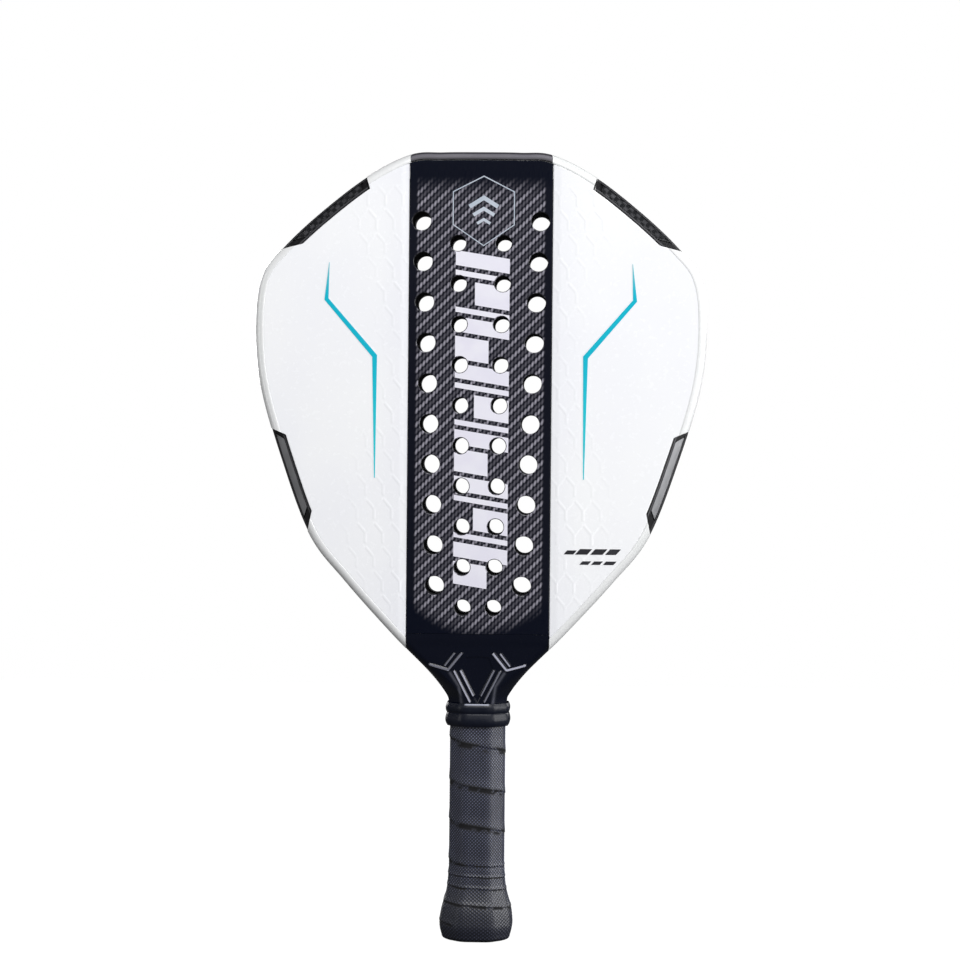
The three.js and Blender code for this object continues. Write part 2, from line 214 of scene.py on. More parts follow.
FACET_SHARE = 0.9995  # keeps the smooth edge inside the CAD model's faceted one
EDGE = curve_through(OUTLINE_KNOTS, 40) * (FACET_SHARE, 1)  # right half, from the tip to the neck
ARC = arc_lengths(EDGE)
TANGENT = np.gradient(EDGE, ARC, axis=0)
TANGENT[0] = (1, 0)
TANGENT /= np.linalg.norm(TANGENT, axis=1)[:, None]
INWARD = np.stack([TANGENT[:, 1], -TANGENT[:, 0]], -1)
WIDEST = int(np.argmax(EDGE[:, 0]))


def inset_line(inset):
    return EDGE + INWARD * inset


def at_arc(arc, inset):
    """x and z of places along the outline, moved inwards."""
    x, z, in_x, in_z = (np.interp(arc, ARC, line) for line in (*EDGE.T, *INWARD.T))
    return x + in_x * inset, z + in_z * inset


def arc_at_z(z, inset):
    return np.interp(-np.asarray(z, float), -inset_line(inset)[:, 1], ARC)


def arc_at_x(x, inset, lower):
    line = inset_line(inset)[:, 0]
    if lower:
        return np.interp(-x, -line[WIDEST:], ARC[WIDEST:])
    return np.interp(x, line[:WIDEST], ARC[:WIDEST])


def width_at(z, inset):
    return at_arc(arc_at_z(z, inset), inset)[0]


# ---------- frame ----------

def arc_points(centre, radius, start, end, steps):
    """Points on an arc, from one angle to another, in degrees."""
    angles = np.radians(np.linspace(start, end, steps))
    return np.stack([centre[0] + radius * np.cos(angles), centre[1] + radius * np.sin(angles)], -1)


def rim_profile():
    """Half section of the frame as [inset, y], from the inner wall round the edge to the middle."""
    lip = [(FRAME_WIDTH, -FACE_SEAT), (SEAM_INSET, -FACE_SEAT), (SEAM_INSET, -18.82),
           (SEAM_INSET - 0.12, -18.93)]
    edge = arc_points((RIM, RIM - HALF_THICKNESS), RIM, 270, 180, 13)
    side = [(0.0, -11.0), (0.12, -7.0), (0.2, -3.0)]  # the side is drawn in very slightly
    return np.vstack([lip, edge, side])


def both_halves(profile):
    return np.vstack([profile, profile[::-1] * (1, -1)])


def frame_sections():
    profile = both_halves(rim_profile())
    outside = profile[:, 0] < FRAME_WIDTH
    bridge = profile.copy()  # under the bumper
    bed = HALF_THICKNESS - BUMPER_WALL - GAP - 0.1
    bridge[outside, 0] = np.maximum(bridge[outside, 0], BUMPER_WALL + GAP)
    bridge[outside, 1] = np.clip(bridge[outside, 1], -bed, bed)
    cut = BUMPER_HALF_WIDTH + GAP
    foot = STRIP_HALF_WIDTH + GAP
    right = []
    for section, first, last, steps in ((bridge, 0, cut, 26), (profile, cut, foot, 300)):
        starts = [arc_at_x(first, inset, False) if first else 0 for inset in section[:, 0]]
        ends = [arc_at_x(last, inset, section is profile) for inset in section[:, 0]]
        for t in np.linspace(0, 1, steps):
            arc = np.array(starts) + (np.array(ends) - starts) * t
            x, z = at_arc(arc, section[:, 0])
            right.append(np.stack([x, section[:, 1], z], -1))
    right = np.array(right)
    left = right[:0:-1] * (-1, 1, 1)
    return np.concatenate([left, right])


LEG_INNER = 2.5
LEG_OUTER = 10
LEG_FOOT = 8
LEG_SPREAD = 2.2  # how fast it widens above the handle
LEG_HALF_DEPTH = [(LEG_FOOT, 7), (GRIP_HEAD, 7), (138, 10), (165, 14.5), (190, 16.4)]  # z, half depth


def leg_sections():
    """The frame's right leg, which runs inside the yoke and the handle."""
    top = float(at_arc(arc_at_x(STRIP_HALF_WIDTH - 0.5, FRAME_WIDTH, True), FRAME_WIDTH)[1])
    sections = []
    for z in [LEG_FOOT, 70, 128, GRIP_HEAD, *np.linspace(134, top, 30)]:
        outer = min(float(width_at(z, YOKE_WALL + 2 * GAP)), STRIP_HALF_WIDTH,
                    LEG_OUTER + max(z - GRIP_HEAD, 0) * LEG_SPREAD)
        inner = max(LEG_INNER, float(width_at(z, FRAME_WIDTH)) if z > 140 else 0)
        depth = np.interp(z, *np.array(LEG_HALF_DEPTH).T)
        # Above the handle its edges are cut off, to keep clear of the covers' edges.
        cut = min(6.5, (outer - inner) * 0.8) if z > NECK_Z else 0.5
        quarter = [(inner, -depth), (outer - cut, -depth), (outer, -depth + cut)]
        around = quarter + [(x, -y) for x, y in reversed(quarter)]
        sections.append([(x, y, z) for x, y in around])
    return np.array(sections)


def cut_notches(piece):
    """Cuts the places of the edge inserts out of a piece."""
    low, high, reach = -NOTCH_MARGIN, INSERT_DEPTH + GAP, 2 * HALF_THICKNESS
    corners = [(low, -reach), (high, -reach), (high, reach), (low, reach)]
    for spec in INSERTS.values():
        sections = swept(corners, [notch_ends(spec, GAP)], [24])
        for mirror in (-1, 1):
            cutter = add_object("cutter", closed_mesh("cutter", *loft(facing(sections, (mirror, 1)))))
            modifier = piece.modifiers.new("notch", "BOOLEAN")
            modifier.operation = "DIFFERENCE"
            modifier.solver = "EXACT"
            modifier.object = cutter
            with bpy.context.temp_override(object=piece):
                bpy.ops.object.modifier_apply(modifier=modifier.name)
            bpy.data.objects.remove(cutter)
    smooth(piece.data)


def slanted_ends(ends, insets, growth):
    """For an inset, the arc lengths at which a notch or window starts and ends.

    Ends are two z at each of two insets, with straight lines between them. Growth is along Z.
    """
    def at(inset):
        share = (inset - insets[0]) / (insets[1] - insets[0])
        high, low = (outer + (inner - outer) * share for outer, inner in zip(*ends))
        return arc_at_z(high + growth, inset), arc_at_z(low - growth, inset)
    return at


NOTCH_MARGIN = 1.3  # how far a cutter stands out past the edge
NOTCH_GROWTH = 1.3  # how much more the slanted ends grow along Z
WINDOW_GROWTH = 3


def notch_ends(spec, grow):
    return slanted_ends(spec["notch"], (-1 - grow, INSERT_DEPTH + grow), NOTCH_GROWTH * grow)


def window_ends(spec, shrink):
    return slanted_ends(spec["window"], WINDOW_INSETS, -WINDOW_GROWTH * shrink)


def swept(profile, ranges, steps):
    """Sections of a profile [inset, y] swept along the outline, through one or more ranges."""
    profile = np.array(profile, float)
    sections = []
    for ends, count in zip(ranges, steps):
        start, end = np.array([ends(inset) for inset in profile[:, 0]]).T
        for t in np.linspace(0, 1, count):
            x, z = at_arc(start + (end - start) * t, profile[:, 0])
            sections.append(np.stack([x, profile[:, 1], z], -1))
    return np.array(sections)


# ---------- flat plates with holes ----------

def hole_list():
    """x, z and radius of the forty holes."""
    holes = []
    for top_x, foot_x, top_z, radius in HOLE_COLUMNS:
        for row in range(HOLES_PER_COLUMN):
            x = top_x + (foot_x - top_x) * row / (HOLES_PER_COLUMN - 1)
            holes += [(side * x, top_z - HOLE_PITCH * row, radius) for side in (-1, 1)]
    return holes


HOLES = hole_list()
HOLE_STEPS = 56
EDGE_SHARE = 0.35  # rounding of a plate's edge, as a share of the rounding of its holes


def circle(x, z, radius):
    angles = np.linspace(0, 2 * math.pi, HOLE_STEPS, endpoint=False)
    return np.stack([x + radius * np.cos(angles), z + radius * np.sin(angles)], -1)


def triangulated(loops):
    """Triangles over the first loop and outside the others: their points, the triangles, and the
    loops' points that each of those points stands for."""
    edges, start = [], 0
    for loop in loops:
        index = start + np.arange(len(loop))
        edges += np.stack([index, np.roll(index, -1)], -1).tolist()
        start += len(loop)
    found = delaunay_2d_cdt([Vector(p) for p in np.vstack(loops)], edges, [], 0, 1e-6)
    flat = np.array([tuple(p) for p in found[0]])
    triangles = np.array(found[2])
    centres = flat[triangles].mean(1)
    inside = within(centres, loops[0])
    for loop in loops[1:]:
        inside &= ~within(centres, loop)
    return flat, triangles[inside], found[3]


def filled(loops):
    """Triangles over the first loop and outside the others. They index the loops' points in order."""
    _, triangles, origins = triangulated(loops)
    source = np.array([origin[0] if origin else -1 for origin in origins])
    return source[triangles].tolist()


def within(places, loop):
    """Which places lie inside a closed loop of points."""
    x, z = places[:, :1], places[:, 1:]
    ax, az = loop.T
    bx, bz = np.roll(loop, -1, 0).T
    span = np.where(bz == az, 1e-12, bz - az)
    crossing = ((az > z) != (bz > z)) & (x < ax + (z - az) * (bx - ax) / span)
    return crossing.sum(1) % 2 == 1


def drilled_plate(outline, wall, y_side):
    """A plate through which the forty holes go.

    outline(inset) gives the plate's edge; wall is its section as [reach, y]: how far the surface
    stands back from each edge, from the flat of the first face over the edge to the second face.
    """
    levels = [[outline(reach * EDGE_SHARE), *(circle(x, z, radius + reach) for x, z, radius in HOLES)]
              for reach, _ in wall]
    points = np.vstack([np.insert(np.vstack(rings), 1, y * y_side, axis=1)
                        for rings, (_, y) in zip(levels, wall)])
    layer = sum(map(len, levels[0]))
    last = layer * (len(wall) - 1)
    faces = filled(levels[0]) + (np.array(filled(levels[-1])) + last).tolist()
    start = 0
    for ring in levels[0]:
        index = start + np.arange(len(ring))
        following = np.roll(index, -1)
        quads = np.stack([index, index + layer, following + layer, following], -1)
        for low in range(0, last, layer):
            faces += (quads + low).tolist()
        start += len(ring)
    return points, faces


def line_distance(x, z, line):
    """Distance from places to a line of straight strokes."""
    nearest = np.inf
    for (ax, az), (bx, bz) in zip(line, line[1:]):
        dx, dz = bx - ax, bz - az
        t = np.clip(((x - ax) * dx + (z - az) * dz) / (dx * dx + dz * dz), 0, 1)
        nearest = np.minimum(nearest, np.hypot(x - ax - t * dx, z - az - t * dz))
    return nearest


def strip_outline(inset):
    """The carbon strip's edge: straight sides and foot, and the racket's curve at the top."""
    half = STRIP_HALF_WIDTH - inset
    across = np.linspace(-half, half, 41)
    arcs = arc_at_x(np.abs(across), SEAM_INSET + inset, False)
    arcs[20] = 0
    top = at_arc(arcs, SEAM_INSET + inset)[1]
    foot = STRIP_FOOT + GAP + 0.2 * inset
    side = np.linspace(0, 1, 24, endpoint=False)[1:]
    right = [(half, top[-1] + (foot - top[-1]) * t) for t in side]
    bottom = [(half - 2 * half * t, foot) for t in np.linspace(0, 1, 17)]
    left = [(-half, foot + (top[0] - foot) * t) for t in side]
    return np.vstack([np.stack([across, top], -1), right, bottom, left])


def core_outline(inset):
    arcs = np.linspace(0, arc_at_z(STRIP_FOOT + GAP + inset, FRAME_WIDTH + GAP + inset), 90)
    x, z = at_arc(arcs, FRAME_WIDTH + GAP + inset)
    x[0] = 0
    right = np.stack([x, z], -1)
    return np.vstack([right, (right * (-1, 1))[:0:-1]])


# ---------- wings ----------

WING_SURFACE = 18.8
WING_ROWS = 560
WING_COLUMNS = 150
CELL_WIDTH = 10.0
CELL_HEIGHT = 27.7
Y_ARM = [(0, 0), (CELL_WIDTH / 2 - 0.6, 5.2)]  # strokes of a raised Y
Y_STEM = [(0, 0), (0, -5.3)]
Y_HEIGHT = 0.085
Y_BREADTH = 0.75
PATTERN_TOP_Z = 416  # z of one Y on the centre column
PATTERN_X = 60


def smooth_step(low, high, value):
    t = np.clip((value - low) / (high - low), 0, 1)
    return t * t * (3 - 2 * t)


def wing_relief(x, z):
    """Height of the raised Y pattern, strongest beside the strip."""
    height = np.zeros(np.broadcast(x, z).shape)
    for shift in (0, 0.5):
        u = (x - PATTERN_X) / CELL_WIDTH - shift
        v = (z - PATTERN_TOP_Z) / CELL_HEIGHT - shift
        local_x = (u - np.round(u)) * CELL_WIDTH
        local_z = (v - np.round(v)) * CELL_HEIGHT
        nearest = np.minimum(line_distance(np.abs(local_x), local_z, Y_ARM),
                             line_distance(local_x, local_z, Y_STEM))
        height = np.maximum(height, np.exp(-(nearest / Y_BREADTH) ** 4))
    reach = 28 + 10 * np.sin(z / 31.0)  # how far the pattern spreads from the strip
    beside = 1 - smooth_step(reach - 14, reach + 6, x - STRIP_HALF_WIDTH)
    ends = smooth_step(184, 200, z) * (1 - smooth_step(428, 440, z))
    return Y_HEIGHT * height * beside * ends * (0.55 + 0.45 * np.sin(z / 19.0 + x / 13.0) ** 2)


def polygon_left_edge(polygon, z):
    """Lowest x of a polygon at a height, or infinity where it isn't there."""
    crossings = [np.inf]
    for (ax, az), (bx, bz) in zip(polygon, np.roll(polygon, -1, 0)):
        if (az > z) != (bz > z):
            crossings.append(ax + (z - az) * (bx - ax) / (bz - az))
    return min(crossings)


def notch_polygon(spec, grow):
    insets = (-NOTCH_MARGIN, INSERT_DEPTH + grow)
    outer, inner = (np.stack(at_arc(np.linspace(*notch_ends(spec, grow)(inset), 60), inset), -1)
                    for inset in insets)
    return np.vstack([outer, inner[::-1]])


NOTCHES = [notch_polygon(spec, GAP) for spec in INSERTS.values()]


def wing_sections():
    """Rows of the front right wing: the moulded surface in front, one flat strip behind."""
    inner = STRIP_HALF_WIDTH + GAP
    line = inset_line(SEAM_INSET)
    top = np.interp(inner + 0.6, line[:WIDEST, 0], line[:WIDEST, 1])
    foot = np.interp(-inner - 0.6, -line[WIDEST:, 0], line[WIDEST:, 1])
    near = np.array([0, 0.25, 0.6, 1.1])
    far = np.array([1.2, 0.7, 0.35, 0.12, 0])
    spread = np.linspace(0, 1, WING_COLUMNS)
    spread = 0.62 * spread + 0.38 * spread ** 2  # closer together beside the strip
    back_y = 1 - HALF_THICKNESS
    rows = []
    for z in np.linspace(foot, top, WING_ROWS):
        outer = min([float(width_at(z, SEAM_INSET)), *(polygon_left_edge(n, z) for n in NOTCHES)])
        scale = min(1, (outer - inner) / 4)
        first, last = inner + near[-1] * scale, outer - far[0] * scale
        across = np.concatenate([inner + near[:-1] * scale, first + (last - first) * spread,
                                 outer - far[1:] * scale])
        at_z = np.full_like(across, z)
        depth = WING_SURFACE + wing_relief(across, at_z)
        depth -= 0.3 * (1 - smooth_step(0, 5, across - inner))  # slopes down to the strip
        depth -= 0.08 * (1 - smooth_step(0, 0.5, outer - across))  # rolled outer edge
        depth -= 0.12 * (1 - smooth_step(0, 0.5, across - inner))  # rolled inner edge
        rows.append([*np.stack([across, -depth, at_z], -1), (outer, back_y, z), (inner, back_y, z)])
    return np.array(rows)


# ---------- printed graphics ----------

def slanted_bar(x, z, width, height, drop=0.0, lean=0.0):
    """A bar round x and z. Its right end is lower by drop, and its top stands out right by lean."""
    return np.array([(x + (right * width + up * lean) / 2, z + (up * height - right * drop) / 2)
                     for right, up in ((-1, 1), (1, 1), (1, -1), (-1, -1))])


def print_layer(shapes, y_low, y_high, holes):
    """Thin closed films: each shape is an outline and the loops cut out of it."""
    return joined(film([*shape, *(circle(*hole) for hole in holes if overlaps(shape[0], hole))],
                       y_low, y_high) for shape in shapes)


def overlaps(outline, hole):
    x, z, radius = hole
    low, high = (x - radius, z - radius), (x + radius, z + radius)
    return ((outline.min(0) < high) & (outline.max(0) > low)).all()


def film(loops, y_low, y_high):
    """A film over the first loop, without what lies in the other loops."""
    flat, triangles, _ = triangulated(loops)
    used, triangles = np.unique(triangles, return_inverse=True)
    triangles = triangles.reshape(-1, 3)
    points = np.vstack([np.insert(flat[used], 1, y, axis=1) for y in (y_low, y_high)])
    count = len(used)
    sides = {side for a, b, c in triangles.tolist() for side in ((a, b), (b, c), (c, a))}
    rims = sorted((a, b) for a, b in sides if (b, a) not in sides)
    faces = triangles.tolist() + (triangles[:, ::-1] + count).tolist()
    return points, faces + [[b, a, a + count, b + count] for a, b in rims]


def ribbon(line, widths):
    """Outline of a line of points drawn with a width at each point."""
    line = np.array(line, float)
    ways = np.diff(line, axis=0)
    ways /= np.linalg.norm(ways, axis=1)[:, None]
    normals = np.stack([-ways[:, 1], ways[:, 0]], -1)
    joints = [normals[0]]
    for a, b in zip(normals, normals[1:]):
        joints.append((a + b) / (1 + a @ b))
    joints.append(normals[-1])
    offsets = np.array(joints) * np.array(widths)[:, None] / 2
    return np.vstack([line + offsets, (line - offsets)[::-1]])


GRAPHIC_X = 1.2
GRAPHIC_WIDTH = 31.0
GRAPHIC_TOP = 396.0
GRAPHIC_GAP = 2.6
GRAPHIC_BARS = [  # height, then where each bar starts and ends over the breadth
    (8.5, 0, 1), (3.0, 0, 1), (13.0, 0.36, 1), (3.0, 0, 1), (8.5, 0, 1), (13.0, 0, 0.62),
]
GRAPHIC_REPEATS = 3
GRAPHIC_DROP = 5.0


def strip_graphics():
    """A column of slanted bars of changing height and breadth."""
    left = GRAPHIC_X - GRAPHIC_WIDTH / 2
    slope = GRAPHIC_DROP / GRAPHIC_WIDTH
    shapes = []
    top = GRAPHIC_TOP
    for height, start, end in GRAPHIC_BARS * GRAPHIC_REPEATS:
        middle = left + GRAPHIC_WIDTH * (start + end) / 2
        width = GRAPHIC_WIDTH * (end - start)
        centre = top - height / 2 - (middle - GRAPHIC_X) * slope
        shapes.append([slanted_bar(middle, centre, width, height, width * slope)])
        top -= height + GRAPHIC_GAP
    return shapes


BADGE_CENTRE = (1.5, 421.0)
BADGE_SIZE = (17.8, 20.2)  # half width, half height
BADGE_LINE = 0.55


def badge():
    """Six-sided outline with three nested chevrons."""
    corners = np.array([(0, 1), (1, 0.55), (1, -0.4), (0, -1), (-1, -0.4), (-1, 0.55)])
    inner_size = np.subtract(BADGE_SIZE, (BADGE_LINE, BADGE_LINE * 1.25))
    shapes = [[corners * size + BADGE_CENTRE for size in (BADGE_SIZE, inner_size)]]
    x, z = BADGE_CENTRE
    for level, half in enumerate((8.2, 6.0, 3.8)):
        peak = z + 7.5 - 6.2 * level
        foot = peak - half * 0.62
        shapes.append([ribbon([(x - half, foot), (x, peak), (x + half, foot)], [2.4 - 0.4 * level] * 3)])
    return shapes


ACCENT_LINE = [(87, 391), (88.5, 370), (60.5, 337.5), (60, 267.5)]
ACCENT_WIDTHS = [0.25, 2.3, 2.8, 0.5]

MARKS = [  # dark dashes low on the right wing: x, z, width, height
    (52.8, 225.8, 5.5, 2.3), (60.5, 226.2, 7.0, 3.2), (69.2, 226.2, 7.0, 3.2), (77.3, 226.2, 6.2, 3.2),
    (61.5, 219.8, 5.0, 2.0), (68.2, 219.8, 5.0, 2.0), (75.5, 219.8, 6.0, 2.0),
]
MARK_LEAN = 0.9  # for a height of 1
PRINT_MARGIN = 0.45  # round the holes
PRINT_TOP = 18.94  # distances of the films' two sides from the middle plane
ACCENT_TOP = 18.95
STRIP_PRINT_FOOT = 18.8
WING_PRINT_FOOT = 18.6


def small_marks():
    return [[slanted_bar(x, z, width, height, lean=height * MARK_LEAN)] for x, z, width, height in MARKS]


# ---------- throat cover ----------

YOKE_HALF_DEPTH = [(NECK_Z, 14.4), (NECK_HEAD, 14.6), (STRIP_FOOT, HALF_THICKNESS)]  # z, half depth
OCTAGON_EDGE = (8.8, 7.4)  # breadth and drop of the yoke's edge at the handle
HEAD_EDGE = (6.4, RIM)
EDGE_SOFTNESS = 0.004
RIDGES = [  # strokes of the raised lines on the right: height, breadth, then points
    (0.75, 0.75, [(9.3, 166.6), (16.8, 157.3), (27.4, 160.2)]),
    (0.6, 0.6, [(13.4, 166.6), (18.6, 159.8)]),
    (0.75, 0.7, [(9.4, 156.6), (2.2, 142.6)]),
    (0.65, 0.65, [(13.2, 156.4), (4.3, 138.9)]),
]
RIDGE_TURN = 157  # z between the upper and the lower raised lines
RIDGE_SHADE = 0.4  # share of the shine on the lines that lie in the shade
PANEL_CORNERS = [(0, 165.4), (6.8, 165.0), (9.6, 157.6), (0.6, 138), (0, 136.7)]
PANEL_DEPTH = 0.35
CREASE = [(15.6, 155.6), (10.6, 148), (8.9, 137)]
CREASE_BREADTH = 0.8
CREASE_DEPTH = 0.12
CREASE_SHINE = 0.15
THROAT_ROWS = 190
THROAT_COLUMNS = 231


def yoke_surface(x, z):
    """Half depth of the yoke at places in its outline."""
    half = np.interp(z, *np.array(YOKE_HALF_DEPTH).T)
    edge = np.interp(z, *YOKE_EDGE.T) - np.abs(x)  # distance to the outline along x
    turned = smooth_step(140, 164, z)  # from the handle's octagon to the head's rounded edge
    breadth, drop = (low + (high - low) * turned for low, high in zip(OCTAGON_EDGE, HEAD_EDGE))
    t = np.clip(1 - edge / breadth, 0, 1)
    straight = 0.5 * (t + np.sqrt(t * t + EDGE_SOFTNESS) - math.sqrt(EDGE_SOFTNESS))
    rounded = 1 - np.sqrt(1 - np.minimum(t, 0.999) ** 2)
    return np.minimum(half - drop * (straight * (1 - turned) + rounded * turned), half)


def crease(x, z):
    """1 in the crease beside the panel, and 0 away from it."""
    return np.exp(-(line_distance(np.abs(x), z, CREASE) / CREASE_BREADTH) ** 2)


def yoke_relief(x, z):
    """Raised lines, creases, and the sunk panel between them."""
    side = np.abs(x)
    height = np.zeros_like(side)
    for rise, breadth, line in RIDGES:
        height = np.maximum(height, rise * np.exp(-(line_distance(side, z, line) / breadth) ** 2.6))
    panel = within(np.stack([side, z], -1), np.array([*PANEL_CORNERS, (-1, 136), (-1, 166)]))
    sunk = PANEL_DEPTH * panel * smooth_step(0, 0.9, line_distance(side, z, PANEL_CORNERS))
    return height - CREASE_DEPTH * crease(x, z) - sunk


def yoke_outline():
    """z and half width of the yoke, cut to the handle's octagon inside the collar."""
    heights = np.linspace(NECK_Z, STRIP_FOOT + 25, 140)
    widths = np.array([float(width_at(z, 0)) for z in heights])
    neck = heights < NECK_HEAD
    widths[neck] = np.minimum(widths[neck], NECK_HALF_WIDTH)
    return np.stack([heights, widths], -1)


YOKE_EDGE = yoke_outline()


def throat_sections():
    """Rows of the front cover from the collar up to the strip, and the painted highlight on its raised
    lines and in its creases.
    """
    edge = np.array([0, 0.12, 0.35, 0.7, 1.1, 1.6, 2.2, 2.9])
    rows, painted_highlight = [], []
    for z in np.linspace(NECK_Z, STRIP_FOOT + 0.15, THROAT_ROWS):
        half = min(float(np.interp(z, *YOKE_EDGE.T)), STRIP_HALF_WIDTH)
        middle = np.linspace(-half + 3.6, half - 3.6, THROAT_COLUMNS)
        across = np.concatenate([-half + edge, middle, half - edge[::-1]])
        at_z = np.full_like(across, z)
        relief = yoke_relief(across, at_z)
        roof = np.interp(z, *np.array(YOKE_HALF_DEPTH).T)
        lowered = 0.12 + 0.33 * (1 - smooth_step(170, 176, z))  # leaves room for the raised lines
        depth = np.minimum(yoke_surface(across, at_z) + relief - lowered, roof)
        # Painted highlight on the raised lines: full on those the light falls on, weaker on those in the
        # shade, and fainter in the creases.
        lit = (across > 0) == (z > RIDGE_TURN)
        shine = smooth_step(0.35, 0.6, relief) * np.where(lit, 1.0, RIDGE_SHADE)
        shine = np.maximum(shine, CREASE_SHINE * crease(across, z))
        side_y = min(depth[0], depth[-1])
        inner_half = half - YOKE_WALL
        inner_side = max(side_y - YOKE_WALL, 1.0)
        # From the middle plane down the wall's outside, along its inside, and up to the roof.
        wall = [(half, side_y / 2), (half, GAP / 2), (inner_half, GAP / 2), (inner_half, inner_side),
                (inner_half - 5, roof - YOKE_WALL - 0.6)]
        left = [(-x, -y, z) for x, y in wall]
        right = [(x, -y, z) for x, y in wall]
        rows.append([left[1], left[0], *np.stack([across, -depth, at_z], -1), *right, *left[:1:-1]])
        painted_highlight.append([0, 0, *shine, *[0] * 8])
    return np.array(rows), np.ravel(painted_highlight)


# ---------- handle ----------

def handle_section(steps, rounding=0.24):
    """Points round the handle's eight-sided section, for a half width of 1. Rounding is the share of
    each side that its rounded corners take at either end."""
    quarter = OCTAGON_CORNERS
    corners = ([(x, -y) for x, y in quarter] + [(x, y) for x, y in reversed(quarter)]
               + [(-x, y) for x, y in quarter] + [(-x, -y) for x, y in reversed(quarter)])
    corners = np.array(corners)
    line = []
    for before, corner, after in zip(np.roll(corners, 1, 0), corners, np.roll(corners, -1, 0)):
        a = corner + (before - corner) * rounding
        b = corner + (after - corner) * rounding
        for t in np.linspace(0, 1, 11):
            line.append((1 - t) ** 2 * a + 2 * t * (1 - t) * corner + t * t * b)
    line = np.array([*line, line[0]])
    arcs = arc_lengths(line)
    places = np.linspace(0, arcs[-1], steps, endpoint=False)
    return np.stack([np.interp(places, arcs, line[:, 0]), np.interp(places, arcs, line[:, 1])], -1)


def sleeve(profile, steps=160):
    """A closed [half width, z] profile swept round the handle's section."""
    section = handle_section(steps)
    return loft([np.insert(r * section, 2, z, axis=1) for r, z in profile], ring=True)


WRAP_SEAMS = [-1, 10, 22, 31.5, 38, 44.5, 68, 90.5, 115, 139]  # z of the edges of the turns
WRAP_CORNER = 0.849  # share of the way round at which the seams have those heights
LOWEST_TURN = 2  # the first turn whose edge shows
WRAP_STEP = 0.35
DOTS_AROUND = 52
STEPS_PER_DOT = 5
DOT_HEIGHT = 0.22
SOFT_CORNERS = 0.2
END_DIP = 0.35  # how far the surface sinks at the overgrip's two ends
END_LENGTH = 1.5


def overgrip_surface():
    """Outer rows of the overgrip with its overlaps and embossed dots, and for each point how high it
    lies on a dot and how much painted shade it takes beside the edge of a turn. The last value is the
    handle's section."""
    around = DOTS_AROUND * STEPS_PER_DOT
    section = handle_section(around, SOFT_CORNERS)
    along = np.gradient(np.vstack([section[-1:], section, section[:1]]), axis=0)[1:-1]
    outward = np.stack([along[:, 1], -along[:, 0]], -1) / np.linalg.norm(along, axis=1)[:, None]
    profile = curve_through(WRAP_SURFACE, 12)
    foot, head = WRAP_SURFACE[0][1], GRIP_HEAD
    pitch = arc_lengths(section).max() * GRIP_SURFACE[-1][0] / DOTS_AROUND
    count = int((head - foot) / pitch * STEPS_PER_DOT)
    share = np.arange(around) / around
    turned = np.interp((share - WRAP_CORNER) % 1, (0, 0.35, 1), (0, 0.24, 1))
    round_wave = np.cos(2 * math.pi * share * DOTS_AROUND)
    rows, marks = [], []
    for j, z in enumerate(np.linspace(foot, head, count)):
        radius = np.interp(z, profile[:, 1], profile[:, 0])
        turn = np.interp(z, WRAP_SEAMS, np.arange(len(WRAP_SEAMS))) + turned
        phase = turn % 1
        overlap = (turn > LOWEST_TURN) * (1 - smooth_step(0, 0.3, phase)) * smooth_step(0, 0.012, phase)
        dot = round_wave * math.cos(2 * math.pi * j / STEPS_PER_DOT)
        ends = smooth_step(0, END_LENGTH, z - foot) * smooth_step(0, END_LENGTH, head - z)
        lift = WRAP_STEP * (overlap - 1) + DOT_HEIGHT * (dot - 1) - END_DIP * (1 - ends)
        rows.append(np.insert(radius * section + outward * lift[:, None], 2, z, axis=1))
        # Painted shade beside each turn's overlapping edge, where the edge above shades the turn below.
        seam_shade = np.where(phase > 0.5, smooth_step(0.85, 0.94, phase), 1 - smooth_step(0.02, 0.1, phase))
        marks.append(np.stack([dot * 0.5 + 0.5, seam_shade * (turn > LOWEST_TURN - 0.5)], -1))
    return np.array(rows), np.array(marks), section


def overgrip():
    outer, marks, section = overgrip_surface()
    inner = np.array([np.insert((r - OVERGRIP) * section, 2, z, axis=1)
                      for r, z in curve_through(WRAP_SURFACE, 3)[::-1]])
    marks = np.concatenate([marks.reshape(-1, 2), np.zeros((inner.shape[0] * inner.shape[1], 2))])
    return *loft(np.concatenate([outer, inner]), ring=True), marks


# ---------- materials ----------

def srgb(r, g, b):
    """A colour given as 0 to 255 steps of a screen, in linear light."""
    linear = [c / 255 / 12.92 if c < 10 else ((c / 255 + 0.055) / 1.055) ** 2.4 for c in (r, g, b)]
    return (*linear, 1)


def feed(tree, socket, value):
    """Links a socket to an input, or sets the input's constant. None leaves it as it is."""
    if isinstance(value, bpy.types.NodeSocket):
        tree.links.new(value, socket)
    elif value is not None:
        socket.default_value = value


def node(tree, kind, *values, **settings):
    """Adds a node, and feeds the values to its inputs in order."""
    made = tree.nodes.new(kind)
    for key, value in settings.items():
        setattr(made, key, value)
    for socket, value in zip(made.inputs, values):
        feed(tree, socket, value)
    return made


def calc(operation, *values):
    """A Math node on sockets and numbers, in the tree of its first socket."""
    tree = next(v for v in values if isinstance(v, bpy.types.NodeSocket)).id_data
    return node(tree, "ShaderNodeMath", *values, operation=operation).outputs[0]


def product(first, *others):
    for other in others:
        first = calc("MULTIPLY", first, other)
    return first


def ramp(value, low, high, start=0.0, end=1.0):
    """Smooth change from start to end while value goes from low to high."""
    return node(value.id_data, "ShaderNodeMapRange", value, low, high, start, end,
                interpolation_type="SMOOTHSTEP").outputs[0]


def blend(share, a, b):
    """A mix of two colours."""
    return node(share.id_data, "ShaderNodeMix", share, *[None] * 5, a, b, data_type="RGBA").outputs[2]


def position(tree):
    """Place on the object in millimetres, as a vector and as x, y and z."""
    place = scaled(node(tree, "ShaderNodeTexCoord").outputs["Object"], (1000, 1000, 1000))
    return place, node(tree, "ShaderNodeSeparateXYZ", place).outputs


def scaled(place, factors):
    return node(place.id_data, "ShaderNodeVectorMath", place, factors, operation="MULTIPLY").outputs[0]


